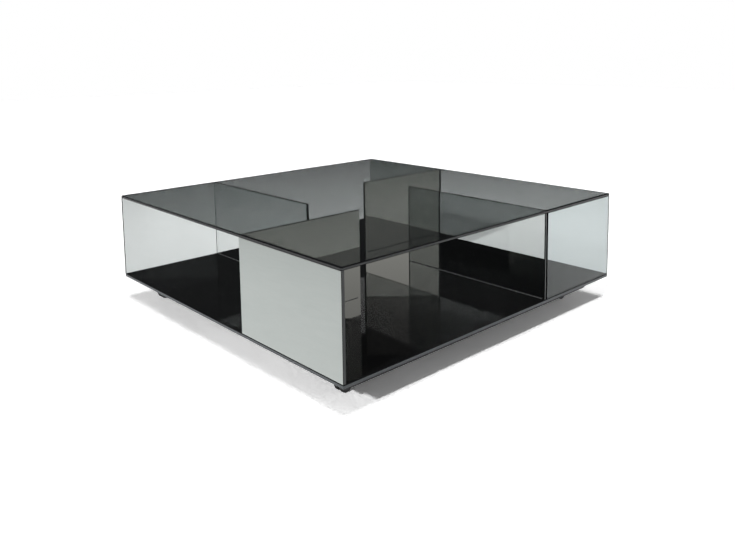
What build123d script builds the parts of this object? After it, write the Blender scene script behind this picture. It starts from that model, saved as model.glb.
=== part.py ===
"""Square coffee table: a smoked glass top on glass and mirror panels, over a black glass shelf
on a steel plinth with four twin-wheel castors.

Millimetres, +Z up. The origin is the centre of the footprint, on the floor. The front is -Y and
the right is +X. The upright panels look the same after half a turn about Z.
"""

from build123d import *
import os

os.makedirs("parts", exist_ok=True)

# ---- driving dimensions -----------------------------------------------------------------------
side = 1200.0  # edge of the square top and of the shelf
glass = 10.0  # thickness of the top and of the upright panels
shelf_thickness = 12.0
bay_height = 272.0  # clear height between the shelf and the top
arris = 2.0  # polished bevel on the edges of the two large sheets
panel_arris = 0.8  # polished bevel on the upright edges of the panels

mirror_offset = 167.0  # from the centre plane to the outer face of a mirror fin
clear_offset = 222.0  # from the centre plane to the inner face of a clear fin
clear_reach = 10.0  # from the centre plane to the inner end of a clear fin

rail_inset = 55.0  # the plinth's outer face stands back this far from the glass edge
rail_width = 15.0
rail_height = 36.0
rail_wall = 1.5
bar_width = 20.0
bar_height = 30.0
bar_offset = 180.0  # from the centre plane to the middle of a cross bar
pad_radius = 6.0
pad_thickness = 2.0
pad_spacing = 350.0  # from the middle of a rail to its pads
bar_pad_spacing = 180.0

wheel_radius = 20.0
wheel_width = 8.5
wheel_gap = 0.3  # side gap between a wheel and the housing
wheel_shoulder = 2.0
hub_dish_radius = 13.0
hub_dish_depth = 1.2
castor_trail = 18.0  # the wheels run this far behind the swivel axis
castor_offset = 490.0  # swivel axes, from both centre planes
web_half = 5.5  # half thickness of the housing between the wheels
hood_gap = 0.8
hood_wall = 1.7
kingpin_radius = 3.0
axle_radius = 2.5
running_gap = 0.05  # radial clearance of the kingpin and of the wheels

castor_plate_side = 42.0
castor_plate_thickness = 2.5
corner_plate_side = 85.0
corner_plate_thickness = 4.0
screw_offset = 15.5
screw_hole_radius = 2.1
screw_radius = 1.95
screw_head_radius = 3.5
screw_head_height = 2.2

# ---- levels and places worked out from them ---------------------------------------------------
plinth_bottom = 34.0
plinth_top = plinth_bottom + rail_height
shelf_bottom = plinth_top + pad_thickness
shelf_top = shelf_bottom + shelf_thickness
top_bottom = shelf_top + bay_height

half = side / 2
rail_outer = half - rail_inset
rail_inner = rail_outer - rail_width
rail_middle = rail_outer - rail_width / 2

castor_plate_bottom = 48.5
castor_plate_top = castor_plate_bottom + castor_plate_thickness
corner_plate_top = castor_plate_top + corner_plate_thickness

corners = {
    "front_left": (-1, -1),
    "front_right": (1, -1),
    "rear_right": (1, 1),
    "rear_left": (-1, 1),
}


def save(piece, name):
    """Labels a finished piece and writes its STEP file."""
    piece.part.label = name
    export_step(piece.part, f"parts/{name}.step")


# ---- the two large sheets ---------------------------------------------------------------------
with BuildPart() as glass_top:
    with BuildSketch(Plane.XY.offset(top_bottom)):
        Rectangle(side, side)
    extrude(amount=glass)
    chamfer(glass_top.edges(), arris)
save(glass_top, "glass_top")

with BuildPart() as shelf_glass:
    with BuildSketch(Plane.XY.offset(shelf_bottom)):
        Rectangle(side, side)
    extrude(amount=shelf_thickness)
    chamfer(shelf_glass.edges(), arris)
save(shelf_glass, "shelf_glass")


# ---- the upright panels -----------------------------------------------------------------------
def make_panel(name, x_range, y_range, turn):
    """An upright sheet between the shelf and the top, turned about Z by turn degrees."""
    length_x, length_y = x_range[1] - x_range[0], y_range[1] - y_range[0]
    middle = (sum(x_range) / 2, sum(y_range) / 2)
    with BuildPart() as panel:
        with BuildSketch(Plane.XY.offset(shelf_top).rotated((0, 0, turn))):
            with Locations(middle):
                Rectangle(length_x, length_y)
        extrude(amount=bay_height)
        chamfer(panel.edges().filter_by(Axis.Z), panel_arris)
    save(panel, name)


panel_layout = {
    # an edge panel flush with the front of the shelf, and the mirror fin butted behind it
    "mirror_panel": (
        (mirror_offset, half),
        (-half, -half + glass),
        ("front", "rear"),
    ),
    "mirror_fin": (
        (mirror_offset, mirror_offset + glass),
        (-half + glass, -mirror_offset),
        ("front", "rear"),
    ),
    # a clear fin that reaches in from the right edge, and the edge panel butted against it
    "clear_fin": (
        (clear_reach, half),
        (clear_offset, clear_offset + glass),
        ("right", "left"),
    ),
    "clear_panel": (
        (half - glass, half),
        (clear_offset + glass, half),
        ("right", "left"),
    ),
}

for kind, (x_range, y_range, sides) in panel_layout.items():
    make_panel(f"{kind}_{sides[0]}", x_range, y_range, 0)
    make_panel(f"{kind}_{sides[1]}", x_range, y_range, 180)


# ---- the plinth: four mitred tubes, two cross bars, four corner plates -------------------------
def mitred_outline(outer, inner):
    """Plan of one rail, with 45 degree ends, between two distances from the centre."""
    return [(-outer, -outer), (outer, -outer), (inner, -inner), (-inner, -inner)]


def make_rail(name, turn):
    """One plinth rail: a rectangular tube, mitred at both ends."""
    base = Plane.XY.offset(plinth_bottom).rotated((0, 0, turn))
    with BuildPart() as rail:
        with BuildSketch(base):
            Polygon(*mitred_outline(rail_outer, rail_inner), align=None)
        extrude(amount=rail_height)
        with BuildSketch(base.offset(rail_wall)):
            Polygon(*mitred_outline(rail_outer - rail_wall, rail_inner + rail_wall), align=None)
        extrude(amount=rail_height - 2 * rail_wall, mode=Mode.SUBTRACT)
    save(rail, name)


for position, place in enumerate(("front", "right", "rear", "left")):
    make_rail(f"plinth_rail_{place}", 90 * position)

for place, sign in (("left", -1), ("right", 1)):
    with BuildPart() as bar:
        with BuildSketch(Plane.XZ.offset(-rail_inner)):
            with Locations((sign * bar_offset, plinth_top - bar_height / 2)):
                Rectangle(bar_width, bar_height)
                Rectangle(
                    bar_width - 2 * rail_wall, bar_height - 2 * rail_wall, mode=Mode.SUBTRACT
                )
        extrude(amount=2 * rail_inner)
    save(bar, f"plinth_bar_{place}")

for place, (sx, sy) in corners.items():
    near = rail_inner - corner_plate_side
    cut = corner_plate_side / 2
    outline = [
        (sx * rail_inner, sy * rail_inner),
        (sx * near, sy * rail_inner),
        (sx * near, sy * (near + cut)),
        (sx * (near + cut), sy * near),
        (sx * rail_inner, sy * near),
    ]
    with BuildPart() as corner_plate:
        with BuildSketch(Plane.XY.offset(castor_plate_top)):
            Polygon(*outline, align=None)
            with Locations((sx * castor_offset, sy * castor_offset)):
                with GridLocations(2 * screw_offset, 2 * screw_offset, 2, 2):
                    Circle(screw_radius, mode=Mode.SUBTRACT)
        extrude(amount=corner_plate_thickness)
    save(corner_plate, f"corner_plate_{place}")

with BuildPart() as glass_pads:
    with BuildSketch(Plane.XY.offset(plinth_top)):
        for turn in range(4):
            with PolarLocations(rail_middle, 1, start_angle=90 * turn):
                with Locations((0, -pad_spacing), (0, pad_spacing)):
                    Circle(pad_radius)
        with GridLocations(2 * bar_offset, 2 * bar_pad_spacing, 2, 2):
            Circle(pad_radius)
    extrude(amount=pad_thickness)
save(glass_pads, "glass_pads")


# ---- the castors ------------------------------------------------------------------------------
def screw_places():
    """The axis of each screw that holds a castor plate to its corner plate."""
    for sx, sy in corners.values():
        for dx in (-screw_offset, screw_offset):
            for dy in (-screw_offset, screw_offset):
                yield (sx * castor_offset + dx, sy * castor_offset + dy)


with BuildPart() as castor_screws:
    with BuildSketch(Plane.XY.offset(castor_plate_bottom - screw_head_height)):
        with Locations(*screw_places()):
            Circle(screw_head_radius)
    extrude(amount=screw_head_height)
    chamfer(castor_screws.faces().group_by(Axis.Z)[0].edges(), 0.6)
    with BuildSketch(Plane.XY.offset(castor_plate_bottom)):
        with Locations(*screw_places()):
            Circle(screw_radius)
    extrude(amount=corner_plate_top - castor_plate_bottom)
save(castor_screws, "castor_screws")


def make_castor_plate(place, x, y):
    """The square steel plate that carries the kingpin, held by four screws."""
    with BuildPart() as castor_plate:
        with BuildSketch(Plane.XY.offset(castor_plate_bottom)):
            with Locations((x, y)):
                RectangleRounded(castor_plate_side, castor_plate_side, 4)
                Circle(kingpin_radius, mode=Mode.SUBTRACT)
                with GridLocations(2 * screw_offset, 2 * screw_offset, 2, 2):
                    Circle(screw_hole_radius, mode=Mode.SUBTRACT)
        extrude(amount=castor_plate_thickness)
    save(castor_plate, f"castor_plate_{place}")


def make_kingpin(place, x, y):
    """The upright pin that the housing turns on, riveted flush into its plate."""
    pin_bottom = 25.0
    with BuildPart() as kingpin:
        with BuildSketch(Plane.XY.offset(pin_bottom)):
            with Locations((x, y)):
                Circle(kingpin_radius)
        extrude(amount=castor_plate_top - pin_bottom)
        chamfer(kingpin.edges().group_by(Axis.Z)[0], 0.6)
    save(kingpin, f"castor_kingpin_{place}")


def make_housing(place, x, y):
    """Web between the wheels, hood over them, and the swivel head round the kingpin."""
    hood_inner = wheel_radius + hood_gap
    hood_outer = hood_inner + hood_wall
    half_width = web_half + wheel_gap + wheel_width
    head_radius, head_bottom, head_top = 11.0, 41.0, castor_plate_bottom - 0.3
    # local x is world Y, local y is world Z, measured from the axle
    side_view = Plane(origin=(x, y - castor_trail, wheel_radius), x_dir=(0, 1, 0), z_dir=(1, 0, 0))
    neck = [(castor_trail - 8, 0), (castor_trail + 8, 3), (castor_trail + 8, 24), (0, 22), (-8, 8)]
    with BuildPart() as housing:
        with BuildSketch(side_view):
            Circle(14)
            Polygon(*neck, align=None)
        extrude(amount=web_half, both=True)
        with BuildSketch(side_view):
            Circle(hood_outer)
            Circle(hood_inner, mode=Mode.SUBTRACT)
            Polygon((-40, -5), (15, 12), (15, 40), (-40, 40), align=None, mode=Mode.INTERSECT)
        extrude(amount=half_width, both=True)
        with BuildSketch(Plane.XY.offset(head_bottom)):
            with Locations((x, y)):
                Circle(head_radius)
        extrude(amount=head_top - head_bottom)
        with BuildSketch(Plane.XY):
            with Locations((x, y)):
                Circle(kingpin_radius + running_gap)
        extrude(amount=head_top, mode=Mode.SUBTRACT)
        with BuildSketch(side_view):
            Circle(axle_radius)
        extrude(amount=half_width, both=True, mode=Mode.SUBTRACT)
    save(housing, f"castor_housing_{place}")


def make_axle(place, x, y):
    """The pin through the housing that both wheels run on."""
    axle_half = web_half + wheel_gap + wheel_width - hub_dish_depth
    side_view = Plane(origin=(x, y - castor_trail, wheel_radius), x_dir=(0, 1, 0), z_dir=(1, 0, 0))
    with BuildPart() as axle:
        with BuildSketch(side_view):
            Circle(axle_radius)
        extrude(amount=axle_half, both=True)
    save(axle, f"castor_axle_{place}")


def make_wheel(place, letter, sign, x, y):
    """One moulded wheel with rounded shoulders and a dished outer face."""
    centre = (x, y - castor_trail, wheel_radius)
    inner = sign * (web_half + wheel_gap)
    outer = inner + sign * wheel_width
    dish = outer - sign * hub_dish_depth
    with BuildPart() as wheel:
        # local x runs along the axle, local y is the radius
        with BuildSketch(Plane(origin=centre, x_dir=(1, 0, 0), z_dir=(0, 0, 1))) as profile:
            Polygon(
                (inner, axle_radius + running_gap),
                (inner, wheel_radius),
                (outer, wheel_radius),
                (outer, hub_dish_radius),
                (dish, hub_dish_radius - 1),
                (dish, axle_radius + running_gap),
                align=None,
            )
            fillet(profile.vertices().group_by(Axis.Y)[-1], wheel_shoulder)
        revolve(axis=Axis(centre, (1, 0, 0)))
    save(wheel, f"castor_wheel_{letter}_{place}")


for place, (sx, sy) in corners.items():
    x, y = sx * castor_offset, sy * castor_offset
    make_castor_plate(place, x, y)
    make_kingpin(place, x, y)
    make_housing(place, x, y)
    make_axle(place, x, y)
    make_wheel(place, "a", -1, x, y)
    make_wheel(place, "b", 1, x, y)
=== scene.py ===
"""Looks of the square glass coffee table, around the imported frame. Metres, +Z up, front -Y."""

import math

import bmesh
import bpy
from mathutils import Matrix, Vector


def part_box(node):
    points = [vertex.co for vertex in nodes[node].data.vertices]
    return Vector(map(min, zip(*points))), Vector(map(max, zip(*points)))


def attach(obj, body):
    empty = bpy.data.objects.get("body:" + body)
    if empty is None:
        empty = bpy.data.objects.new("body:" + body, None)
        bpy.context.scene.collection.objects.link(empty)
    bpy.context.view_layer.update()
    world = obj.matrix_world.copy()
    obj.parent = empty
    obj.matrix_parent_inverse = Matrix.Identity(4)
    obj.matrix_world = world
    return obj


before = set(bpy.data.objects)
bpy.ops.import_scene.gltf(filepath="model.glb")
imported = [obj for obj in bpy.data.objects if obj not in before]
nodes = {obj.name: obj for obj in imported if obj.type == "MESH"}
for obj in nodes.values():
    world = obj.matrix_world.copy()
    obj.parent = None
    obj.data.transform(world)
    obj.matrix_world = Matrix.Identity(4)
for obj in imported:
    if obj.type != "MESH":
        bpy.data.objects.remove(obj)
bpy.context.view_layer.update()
CORNERS = ("front_left", "front_right", "rear_right", "rear_left")
scene = bpy.context.scene


# ---- small helpers for node materials -----------------------------------------------------------
class Tree:
    """A material and the few node calls that the materials below are made of."""

    def __init__(self, name):
        self.material = bpy.data.materials.new(name)
        self.material.use_nodes = True
        self.nodes = self.material.node_tree.nodes
        self.links = self.material.node_tree.links
        self.nodes.clear()
        self.output = self.nodes.new("ShaderNodeOutputMaterial")

    def add(self, kind, inputs=None, **settings):
        """A node of that kind. inputs gives socket values, or the output sockets to link."""
        node = self.nodes.new("ShaderNode" + kind)
        for key, value in settings.items():
            setattr(node, key, value)
        for key, value in (inputs or {}).items():
            socket = node.inputs[key]
            if isinstance(value, bpy.types.NodeSocket):
                self.links.new(value, socket)
            elif isinstance(value, tuple) and len(value) == 3 and socket.type == "RGBA":
                socket.default_value = (*value, 1)
            else:
                socket.default_value = value
        return node

    def place(self):
        """Object coordinates, in metres."""
        return self.add("TexCoord").outputs["Object"]

    def stretched(self, scale):
        """Object coordinates scaled by (x, y, z)."""
        return self.add("Mapping", {"Vector": self.place(), "Scale": scale}).outputs[0]

    def noise(self, scale, detail=3.0, roughness=0.5, vector=None, distortion=0.0):
        inputs = {"Scale": scale, "Detail": detail, "Roughness": roughness}
        inputs["Vector"] = vector or self.place()
        inputs["Distortion"] = distortion
        return self.add("TexNoise", inputs).outputs["Fac"]

    def span(self, value, low, high, to_low, to_high, smooth=False):
        """value remapped from low..high to to_low..to_high and held there."""
        inputs = {0: value, 1: low, 2: high, 3: to_low, 4: to_high}
        kind = "SMOOTHSTEP" if smooth else "LINEAR"
        return self.add("MapRange", inputs, interpolation_type=kind, clamp=True).outputs[0]

    def math(self, operation, a, b=0.0):
        return self.add("Math", {0: a, 1: b}, operation=operation).outputs[0]

    def ramp(self, factor, low, high):
        """A colour between low and high, by factor."""
        node = self.add("Mix", {"Factor": factor}, data_type="RGBA")
        for socket, value in ((node.inputs[6], low), (node.inputs[7], high)):
            if isinstance(value, bpy.types.NodeSocket):
                self.links.new(value, socket)
            else:
                socket.default_value = (*value, 1)
        return node.outputs[2]

    def mix(self, factor, low, high):
        """A number between low and high, by factor."""
        return self.add("Mix", {0: factor, 2: low, 3: high}, data_type="FLOAT").outputs[0]

    def bump(self, height, distance, strength=1.0):
        inputs = {"Height": height, "Distance": distance, "Strength": strength}
        return self.add("Bump", inputs).outputs[0]

    def finish(self, shader):
        self.links.new(shader, self.output.inputs["Surface"])
        return self.material


def across(tree, axis):
    """How squarely a face looks along an axis of the object: 1 on a sheet's faces, 0 on its rim."""
    normal = tree.add("TexCoord").outputs["Normal"]
    part = tree.add("SeparateXYZ", {0: normal}).outputs["XYZ".index(axis)]
    return tree.math("ABSOLUTE", part)


# ---- glass --------------------------------------------------------------------------------------
RIM_GREY = (0.045, 0.047, 0.048)
RIM_DARK = (0.004, 0.004, 0.0045)
SHELF_RIM = (0.075, 0.082, 0.086)
GROUND = 0.28  # roughness of a ground rim
GLASS_IOR = 1.52


ARRIS = 0.002  # the bevels along the cut edges
# painted shade: how far down the flat of a level sheet's rim the dark colour of its upper bevel is
# painted on
PAINTED_BEVEL_SHADE = 0.0011
PAINTED_SHADE_FADE = 0.0005


def cut_edges(t, axis, rim, arris, rim_gloss, arris_gloss, rim_rough=GROUND, upper=None):
    """The cut edges of a sheet: how much of a point is on them, their colour, shine and roughness.
    The flat of the rim is ground satin, and the narrow bevels beside it are polished. upper is the
    height at which a level sheet's upper bevel starts; the bevel's dark colour is painted on a
    little below it onto the flat, as painted shade."""
    facing = across(t, axis)
    edge = t.span(facing, 0.97, 0.98, 1.0, 0.0)
    flat = t.span(facing, 0.3, 0.4, 1.0, 0.0)
    # painted shade: just below the upper bevel the flat's mask is cut away, so the bevel's dark
    # colour is painted onto the top of the rim flat
    if upper is not None:
        level = t.add("SeparateXYZ", {0: t.place()}).outputs[2]
        painted_shade_from = upper - PAINTED_BEVEL_SHADE
        below = t.span(level, painted_shade_from - PAINTED_SHADE_FADE, painted_shade_from, 1.0, 0.0)
        flat = t.math("MULTIPLY", flat, below)
    grain = t.noise(900.0, 2.0)
    rim_colour = t.ramp(grain, tuple(0.85 * c for c in rim), rim)
    colour = t.ramp(flat, arris, rim_colour)
    shine = t.ramp(flat, (arris_gloss,) * 3, (rim_gloss,) * 3)
    rough = t.span(flat, 0.0, 1.0, 0.0, rim_rough)
    return edge, colour, t.ramp(edge, (1.0, 1.0, 1.0), shine), rough, flat


def glass(
    name, axis, tint, shadow, rim=RIM_GREY, arris=RIM_DARK, rim_gloss=0.6, arris_gloss=0.1,
    black_rim=False, clear_beyond=None, upper=None,
):
    """Sheet glass that is clear through its two large faces and dark and satin on its cut rim.
    tint is what a straight look through the sheet leaves of the light, and shadow the same for
    the lamps. With rim None the cut rim is polished and clear, and with clear_beyond only the
    end that lies that far to the left is. With black_rim the flat of the rim is polished, and
    black from inside the glass as well."""
    t = Tree(name)
    haze = t.noise(2.3, 4.0, 0.55, distortion=0.6)
    body = t.ramp(haze, tuple(0.985 * c for c in tint), tint)
    smudge = t.span(t.noise(11.0, 5.0, 0.62), 0.60, 0.80, 0.0, 0.004)
    inputs = {"Base Color": body, "Roughness": smudge, "Transmission Weight": 1.0, "IOR": GLASS_IOR}
    if rim is not None:
        edge, colour, shine, rough, flat = cut_edges(
            t, axis, rim, arris, rim_gloss, arris_gloss, 0.0 if black_rim else GROUND, upper
        )
        if clear_beyond is not None:
            along = t.add("SeparateXYZ", {0: t.place()}).outputs[0]
            edge = t.math("MULTIPLY", edge, t.span(along, clear_beyond, clear_beyond + 0.001, 0, 1))
        inputs["Base Color"] = t.ramp(edge, body, colour)
        inputs["Roughness"] = t.mix(edge, smudge, rough)
        inputs["Transmission Weight"] = t.span(edge, 0.0, 1.0, 1.0, 0.0)
        inputs["Specular Tint"] = shine
        if black_rim:
            inputs["Metallic"] = t.math("MULTIPLY", edge, flat)
    glassy = t.add("BsdfPrincipled", inputs)
    lets_lamps_through = t.add("BsdfTransparent", {"Color": shadow})
    path = t.add("LightPath")
    both = t.add(
        "MixShader",
        {0: path.outputs["Is Shadow Ray"], 1: glassy.outputs[0], 2: lets_lamps_through.outputs[0]},
    )
    return t.finish(both.outputs[0])


def black_glass():
    """Opaque black float glass with a faint bloom of dust and wiping marks."""
    t = Tree("black_float_glass")
    # painted shade: upper gives the shelf's rim flat a dark band just below its upper bevel
    edge, colour, shine, rough, _ = cut_edges(
        t, "Z", SHELF_RIM, RIM_DARK, 0.5, 0.1, upper=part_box("shelf_glass")[1][2] - ARRIS
    )
    wiping = t.noise(5.0, 4.0, 0.6, t.stretched((1.0, 6.0, 1.0)), 0.8)
    dust = t.span(wiping, 0.45, 0.75, 0.0, 1.0)
    body = t.ramp(dust, (0.0048, 0.0049, 0.005), (0.0064, 0.0065, 0.0066))
    shader = t.add(
        "BsdfPrincipled",
        {
            "Base Color": t.ramp(edge, body, colour),
            "Roughness": t.mix(edge, t.span(dust, 0.55, 1.0, 0.0, 0.01), rough),
            "Specular Tint": shine,
            "IOR": GLASS_IOR,
        },
    )
    return t.finish(shader.outputs[0])


def mirror(name, axis, silver, rim=RIM_GREY, rim_gloss=0.6, rough=0.012):
    """Mirror glass, silvered on both faces, with a dark satin cut rim."""
    t = Tree(name)
    edge, colour, _, rough, _ = cut_edges(t, axis, rim, RIM_DARK, rim_gloss, 0.1)
    cloud = t.noise(1.7, 4.0, 0.55, distortion=0.5)
    face = t.ramp(cloud, tuple(0.97 * c for c in silver), silver)
    smudge = t.span(t.noise(9.0, 5.0, 0.62), 0.58, 0.8, 0.0, rough)
    shine = t.ramp(edge, (1.0, 1.0, 1.0), (rim_gloss,) * 3)
    shader = t.add(
        "BsdfPrincipled",
        {
            "Base Color": t.ramp(edge, face, colour),
            "Metallic": t.span(edge, 0.0, 1.0, 1.0, 0.0),
            "Roughness": t.mix(edge, smudge, rough),
            "Specular Tint": shine,
        },
    )
    return t.finish(shader.outputs[0])


# ---- metal, nylon and rubber --------------------------------------------------------------------
def powder_coat():
    """Near-black satin powder coat with its fine orange peel."""
    t = Tree("black_powder_coat")
    peel = t.noise(1400.0, 2.0, 0.5)
    broad = t.noise(22.0, 3.0, 0.5)
    shader = t.add(
        "BsdfPrincipled",
        {
            "Base Color": t.ramp(broad, (0.012, 0.0125, 0.0135), (0.018, 0.0185, 0.02)),
            "Roughness": t.span(broad, 0.3, 0.7, 0.42, 0.52),
            "Normal": t.bump(peel, 0.00025, 0.5),
        },
    )
    return t.finish(shader.outputs[0])


def zinc():
    """Bright zinc plate over drawn steel, with a passivated, slightly uneven tone."""
    t = Tree("zinc_plate")
    drawn = t.noise(180.0, 3.0, 0.6, t.stretched((1.0, 9.0, 1.0)))
    patch = t.noise(60.0, 4.0, 0.6)
    shader = t.add(
        "BsdfPrincipled",
        {
            "Base Color": t.ramp(patch, (0.50, 0.50, 0.49), (0.66, 0.66, 0.63)),
            "Metallic": 1.0,
            "Roughness": t.span(patch, 0.3, 0.7, 0.26, 0.42),
            "Normal": t.bump(drawn, 0.0001, 0.4),
        },
    )
    return t.finish(shader.outputs[0])


def nylon(name, low, high, rough, grain_size):
    """Moulded black nylon with a spark-eroded grain."""
    t = Tree(name)
    grain = t.noise(grain_size, 2.0, 0.5)
    broad = t.noise(45.0, 3.0, 0.5)
    shader = t.add(
        "BsdfPrincipled",
        {
            "Base Color": t.ramp(broad, low, high),
            "Roughness": t.span(broad, 0.3, 0.7, rough - 0.06, rough + 0.06),
            "Normal": t.bump(grain, 0.00012, 0.6),
        },
    )
    return t.finish(shader.outputs[0])


def rubber():
    """Translucent grey bumper pads."""
    t = Tree("pad_elastomer")
    cloud = t.noise(260.0, 3.0, 0.55)
    shader = t.add(
        "BsdfPrincipled",
        {
            "Base Color": t.ramp(cloud, (0.22, 0.225, 0.225), (0.30, 0.305, 0.30)),
            "Roughness": t.span(cloud, 0.3, 0.7, 0.45, 0.6),
            "Subsurface Weight": 0.2,
            "Subsurface Scale": 0.002,
            "Normal": t.bump(cloud, 0.0001, 0.5),
        },
    )
    return t.finish(shader.outputs[0])


def adhesive():
    """Clear bonding adhesive, cured in the corner where a panel stands on a sheet."""
    t = Tree("cured_adhesive")
    run = t.noise(120.0, 3.0, 0.6)
    shader = t.add(
        "BsdfPrincipled",
        {
            "Base Color": t.ramp(run, (0.03, 0.031, 0.031), (0.075, 0.077, 0.077)),
            "Roughness": t.span(run, 0.3, 0.7, 0.12, 0.3),
        },
    )
    return t.finish(shader.outputs[0])


def paint(material, *names):
    for name in names:
        slots = nodes[name].material_slots
        for s in slots:
            s.material = material
        if not slots:
            nodes[name].data.materials.append(material)


SMOKED = (0.395, 0.415, 0.412)
CLEAR = (0.91, 0.94, 0.935)
CLEAR_FIN_TINT = (0.79, 0.82, 0.815)
GREY_TINT = (0.51, 0.555, 0.56)
GREY_FIN_TINT = (0.505, 0.53, 0.525)
SILVER = (0.76, 0.80, 0.775)
BRONZE = (0.58, 0.58, 0.535)

FIN_RIM = (0.004, 0.004, 0.004)
LIGHT_SHADOW = (0.9, 0.92, 0.92)
# painted shade: upper gives the smoked top's rim flat a dark band just below its upper bevel
paint(
    glass(
        "smoked_sheet", "Z", SMOKED, (0.93, 0.93, 0.93), rim=(0.03, 0.031, 0.032), rim_gloss=0.7,
        upper=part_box("glass_top")[1][2] - ARRIS,
    ),
    "glass_top",
)
paint(black_glass(), "shelf_glass")
paint(mirror("silver_mirror", "Y", SILVER), "mirror_panel_front", "mirror_panel_rear")
paint(
    mirror("bronze_mirror", "X", BRONZE, rim=(0.02, 0.02, 0.02)),
    "mirror_fin_front",
    "mirror_fin_rear",
)
paint(
    glass(
        "clear_fin_sheet", "Y", CLEAR_FIN_TINT, LIGHT_SHADOW, FIN_RIM, rim_gloss=0.05,
        clear_beyond=-0.595,
    ),
    "clear_fin_left",
)
paint(
    glass(
        "grey_fin_sheet", "Y", GREY_FIN_TINT, LIGHT_SHADOW, FIN_RIM, arris=(0.20, 0.21, 0.21),
        rim_gloss=0.05, arris_gloss=0.6, black_rim=True,
    ),
    "clear_fin_right",
)
paint(glass("clear_edge_sheet", "X", CLEAR, LIGHT_SHADOW, None), "clear_panel_left")
paint(glass("grey_edge_sheet", "X", GREY_TINT, LIGHT_SHADOW, None), "clear_panel_right")

coat = powder_coat()
paint(coat, *(f"plinth_rail_{n}" for n in ("front", "right", "rear", "left")))
paint(coat, "plinth_bar_left", "plinth_bar_right", *(f"corner_plate_{c}" for c in CORNERS))
steel = zinc()
paint(steel, "castor_screws")
paint(rubber(), "glass_pads")
body_nylon = nylon("housing_nylon", (0.010, 0.010, 0.0105), (0.017, 0.017, 0.018), 0.45, 1600.0)
tread_nylon = nylon("tread_nylon", (0.014, 0.014, 0.0145), (0.024, 0.024, 0.025), 0.55, 900.0)
for c in CORNERS:
    paint(steel, f"castor_plate_{c}", f"castor_kingpin_{c}", f"castor_axle_{c}")
    paint(body_nylon, f"castor_housing_{c}")
    paint(tread_nylon, f"castor_wheel_a_{c}", f"castor_wheel_b_{c}")


# ---- adhesive beads along the feet of the panels -------------------------------------------------
BEAD = 0.0016
bead_material = adhesive()


def bead(name, start, end, away):
    """A small concave fillet on the shelf from start to end, in the corner that opens away."""
    start, end, away = Vector(start), Vector(end), Vector(away)
    run = end - start
    steps = max(int(run.length / 0.02), 2)
    form = bmesh.new()
    rings = []
    for k in range(steps + 1):
        size = BEAD * (1.0 + 0.22 * math.sin(2.3 * k) * math.sin(0.9 * k + 1.0))
        at = start + run * (k / steps)
        profile = [(0.0, 0.0), (1.0, 0.0), (0.55, 0.13), (0.27, 0.27), (0.13, 0.55), (0.0, 1.0)]
        up = Vector((0, 0, 1))
        rings.append([form.verts.new(at + away * (u * size) + up * (v * size)) for u, v in profile])
    for a, b in zip(rings, rings[1:]):
        for k in range(len(a)):
            form.faces.new((a[k], a[(k + 1) % len(a)], b[(k + 1) % len(b)], b[k]))
    form.faces.new(reversed(rings[0]))
    form.faces.new(rings[-1])
    bmesh.ops.recalc_face_normals(form, faces=form.faces)
    data = bpy.data.meshes.new(name)
    form.to_mesh(data)
    form.free()
    piece = bpy.data.objects.new(name, data)
    scene.collection.objects.link(piece)
    data.materials.append(bead_material)
    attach(piece, "table")


for node, sides in (
    ("mirror_fin_front", "both"),
    ("mirror_fin_rear", "both"),
    ("clear_fin_right", "both"),
    ("clear_fin_left", "both"),
    ("mirror_panel_front", "inner"),
    ("mirror_panel_rear", "inner"),
    ("clear_panel_right", "inner"),
    ("clear_panel_left", "inner"),
):
    low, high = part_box(node)
    long_x = high[0] - low[0] > high[1] - low[1]
    thin = 1 if long_x else 0
    for sign, edge_at, tag in ((-1, low, "a"), (1, high, "b")):
        if sides == "inner" and abs(edge_at[thin]) > max(abs(low[thin]), abs(high[thin])) - 1e-5:
            continue
        a, b = [low[0], low[1], low[2]], [high[0], high[1], low[2]]
        a[thin] = b[thin] = edge_at[thin]
        lengthwise = 1 - thin
        a[lengthwise] += 0.012
        b[lengthwise] -= 0.012
        away = [0.0, 0.0, 0.0]
        away[thin] = sign
        bead(f"bead_{node}_{tag}", a, b, away)


# ---- floor --------------------------------------------------------------------------------------
# painted pool of light: the floor as glass and mirrors meet it is brightest around a point behind
# the table and dims with distance from it
PAINTED_POOL_MIDDLE = (-0.3, 1.3, 0.0)
PAINTED_POOL_REACH, PAINTED_POOL_FADE_REACH = 0.35, 2.85
PAINTED_POOL_TONE, PAINTED_POOL_FAR_TONE = 1.03, 0.47


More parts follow.
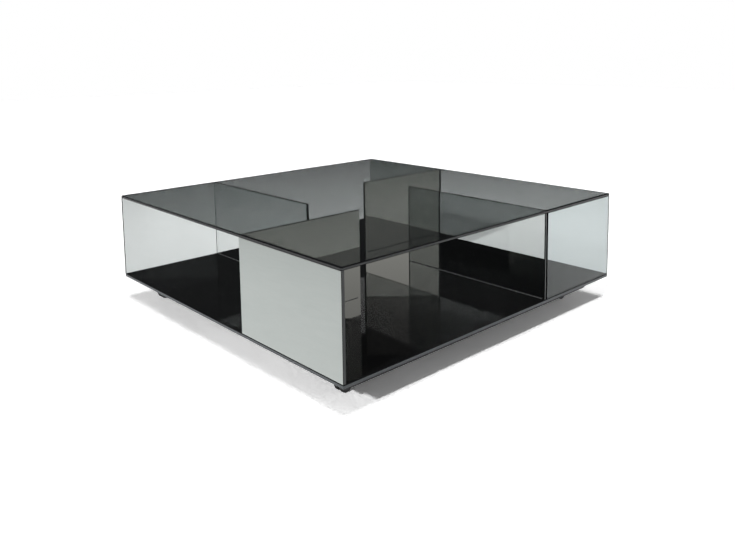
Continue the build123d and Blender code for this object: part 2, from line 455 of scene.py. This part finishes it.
def studio_floor():
    """A pale trowelled floor. The camera meets it burnt out to white, as in the photograph, with
    painted shade that darkens it towards the left; glass and mirrors meet it as pale grey with a
    painted pool of light behind the table."""
    t = Tree("studio_floor")
    place = t.place()
    cloud = t.noise(1.6, 6.0, 0.6, place, 0.7)
    trowel = t.noise(7.0, 5.0, 0.65, t.stretched((1.0, 3.0, 1.0)), 1.2)
    sand = t.noise(130.0, 3.0, 0.7, place)
    tone = t.math("ADD", t.span(cloud, 0.3, 0.7, -0.5, 0.5), t.span(trowel, 0.3, 0.7, -0.5, 0.5))
    tone = t.math("ADD", tone, t.span(sand, 0.3, 0.7, -0.35, 0.35))
    grey = t.span(tone, -1.0, 1.0, 0.0, 1.0)
    # painted pool of light: the distance from the pool's middle sets how bright the floor's colour
    # is for glass and mirrors
    from_painted_pool = t.add("VectorMath", {0: place, 1: PAINTED_POOL_MIDDLE}, operation="DISTANCE").outputs["Value"]
    level = t.span(from_painted_pool, PAINTED_POOL_REACH, PAINTED_POOL_FADE_REACH, PAINTED_POOL_TONE, PAINTED_POOL_FAR_TONE)
    mottle = t.ramp(grey, (0.92, 0.935, 0.935), (1.0, 1.01, 1.005))
    mottle_and_painted_pool = t.add("VectorMath", {0: mottle}, operation="SCALE")
    t.links.new(level, mottle_and_painted_pool.inputs["Scale"])
    seen = t.add("BsdfDiffuse", {"Color": mottle_and_painted_pool.outputs[0]})
    speckle = t.span(t.math("ADD", grey, t.span(sand, 0.35, 0.65, -0.4, 0.4)), 0.0, 1.0, 0.0, 1.0)
    burnt = t.add(
        "VectorMath", {0: t.ramp(speckle, (1.2, 1.2, 1.2), (1.62, 1.62, 1.62))}, operation="SCALE"
    )
    # painted shade: the floor as the camera meets it is darkened towards the left, to 0.82 at x
    # -0.6, rising to full at x 0.5
    along = t.add("SeparateXYZ", {0: place}).outputs[0]
    t.links.new(t.span(along, -0.6, 0.5, 0.82, 1.0), burnt.inputs["Scale"])
    bright = t.add("BsdfDiffuse", {"Color": burnt.outputs[0]})
    path = t.add("LightPath")
    both = t.add(
        "MixShader",
        {0: path.outputs["Is Camera Ray"], 1: seen.outputs[0], 2: bright.outputs[0]},
    )
    return t.finish(both.outputs[0])


FLOOR_REACH = 14.0
mesh = bpy.data.meshes.new("studio_floor")
grid = bmesh.new()
bmesh.ops.create_grid(grid, x_segments=8, y_segments=8, size=FLOOR_REACH)
grid.to_mesh(mesh)
grid.free()
floor = bpy.data.objects.new("studio_floor", mesh)
scene.collection.objects.link(floor)
mesh.materials.append(studio_floor())


# ---- light --------------------------------------------------------------------------------------
def aim(obj, direction):
    """Turns obj so that its -Z looks along direction."""
    obj.rotation_mode = "QUATERNION"
    obj.rotation_quaternion = Vector(direction).to_track_quat("-Z", "Y")


KEY_FROM = Vector((18.0, -136.0, 81.0))
KEY_STRENGTH = 2.4
OVERHEAD_STRENGTH = 1.6

# the overhead light is as wide as a ceiling, so glass would show it as a disc: it is hidden there
for lamp, source, strength, spread, mirrored in (
    ("key", KEY_FROM, KEY_STRENGTH, 3.0, True),
    ("overhead", Vector((0.0, 0.0, 1.0)), OVERHEAD_STRENGTH, 30.0, False),
):
    lamp_data = bpy.data.lights.new(lamp, "SUN")
    lamp_data.energy = strength
    lamp_data.angle = math.radians(spread)
    lamp_object = bpy.data.objects.new(lamp, lamp_data)
    lamp_object.visible_glossy = mirrored
    lamp_object.visible_transmission = mirrored
    aim(lamp_object, -source)
    scene.collection.objects.link(lamp_object)

# a tall white card at the right rear, which the shelf and the mirror fins show
CARD_WIDTH, CARD_HEIGHT, CARD_DISTANCE, CARD_SIDE = 3.2, 1.49, 3.5, math.radians(42.0)
CARD_LEVEL = 1.30
card_data = bpy.data.lights.new("card", "AREA")
card_data.shape = "RECTANGLE"
card_data.size, card_data.size_y = CARD_WIDTH, CARD_HEIGHT
card_data.energy = CARD_LEVEL * math.pi * CARD_WIDTH * CARD_HEIGHT
card = bpy.data.objects.new("card", card_data)
card_way = Vector((math.cos(CARD_SIDE), math.sin(CARD_SIDE), 0))
card.location = card_way * CARD_DISTANCE + Vector((0, 0, CARD_HEIGHT / 2))
aim(card, -card_way)
card.visible_camera = False
scene.collection.objects.link(card)

world = bpy.data.worlds.new("studio")
scene.world = world
world.use_nodes = True
wt = world.node_tree
wt.nodes.clear()


def world_node(kind, inputs=None, **settings):
    node = wt.nodes.new("ShaderNode" + kind)
    for key_name, value in settings.items():
        setattr(node, key_name, value)
    for key_name, value in (inputs or {}).items():
        socket = node.inputs[key_name]
        if isinstance(value, bpy.types.NodeSocket):
            wt.links.new(value, socket)
        else:
            socket.default_value = value
    return node


toward = world_node("SeparateXYZ", {0: world_node("TexCoord").outputs["Generated"]})
height = toward.outputs[2]
left = world_node("MapRange", {0: toward.outputs[0], 1: -0.62, 2: -0.88, 3: 0.0, 4: 1.0}).outputs[0]
DIM_RIGHT, DIM_LEFT = (0.014, 0.0145, 0.0155, 1), (0.03, 0.031, 0.032, 1)
dim = world_node("Mix", {0: left, 6: DIM_RIGHT, 7: DIM_LEFT}, data_type="RGBA")
# the dim studio that glass and mirrors show: pale at the horizon, dark above it, lighter overhead
rise = world_node("MapRange", {0: height, 1: 0.55, 2: 0.95, 3: 0.0, 4: 1.0}).outputs[0]
room = world_node("Mix", {0: rise, 6: dim.outputs[2], 7: (0.4, 0.4, 0.4, 1)}, data_type="RGBA")
low = world_node("MapRange", {0: height, 1: 0.045, 2: 0.11, 3: 0.0, 4: 1.0}).outputs[0]
room = world_node("Mix", {0: low, 6: (0.8, 0.81, 0.81, 1), 7: room.outputs[2]}, data_type="RGBA")
shown = world_node("Background", {0: room.outputs[2], 1: 1.0})
# diffuse light comes mostly from low down, so it reaches in under the table
low_fill = world_node("MapRange", {0: height, 1: 0.0, 2: 0.3, 3: 4.2, 4: 0.12}).outputs[0]
fill = world_node("Background", {0: (1, 1, 1, 1), 1: low_fill})
white = world_node("Background", {0: (1, 1, 1, 1), 1: 1.0})
path = world_node("LightPath")
sharp = world_node(
    "Math",
    {0: path.outputs["Is Glossy Ray"], 1: path.outputs["Is Transmission Ray"]},
    operation="MAXIMUM",
)
inner = world_node("MixShader", {0: sharp.outputs[0], 1: fill.outputs[0], 2: shown.outputs[0]})
outer = world_node(
    "MixShader", {0: path.outputs["Is Camera Ray"], 1: inner.outputs[0], 2: white.outputs[0]}
)
world_node("OutputWorld", {0: outer.outputs[0]})


# ---- camera -------------------------------------------------------------------------------------
YAW, PITCH, ROLL = 0.8331, 0.11734, -0.01407
STANDPOINT = (1.7980, -1.60175, 0.84374)
LENS_MM, SHIFT = 34.548, -0.18
forward = Vector(
    (-math.sin(YAW) * math.cos(PITCH), math.cos(YAW) * math.cos(PITCH), -math.sin(PITCH))
)
level = Vector((math.cos(YAW), math.sin(YAW), 0))
upward = level.cross(forward)
side_axis = math.cos(ROLL) * level + math.sin(ROLL) * upward
up_axis = -math.sin(ROLL) * level + math.cos(ROLL) * upward
camera_data = bpy.data.cameras.new("camera")
camera_data.sensor_width = 36.0
camera_data.lens = LENS_MM
camera_data.shift_y = SHIFT
camera_data.clip_start, camera_data.clip_end = 0.05, 100
camera = bpy.data.objects.new("camera", camera_data)
camera.matrix_world = Matrix(
    (
        (side_axis.x, up_axis.x, -forward.x, STANDPOINT[0]),
        (side_axis.y, up_axis.y, -forward.y, STANDPOINT[1]),
        (side_axis.z, up_axis.z, -forward.z, STANDPOINT[2]),
        (0, 0, 0, 1),
    )
)
scene.collection.objects.link(camera)
scene.camera = camera

scene.view_settings.view_transform = "Standard"
scene.view_settings.look = "None"
scene.view_settings.exposure = 0.0
scene.cycles.max_bounces = 24
scene.cycles.glossy_bounces = 14
scene.cycles.transmission_bounces = 20
scene.cycles.transparent_max_bounces = 24
scene.cycles.diffuse_bounces = 4
scene.cycles.caustics_reflective = False
scene.cycles.caustics_refractive = False
scene.cycles.sample_clamp_indirect = 4.0
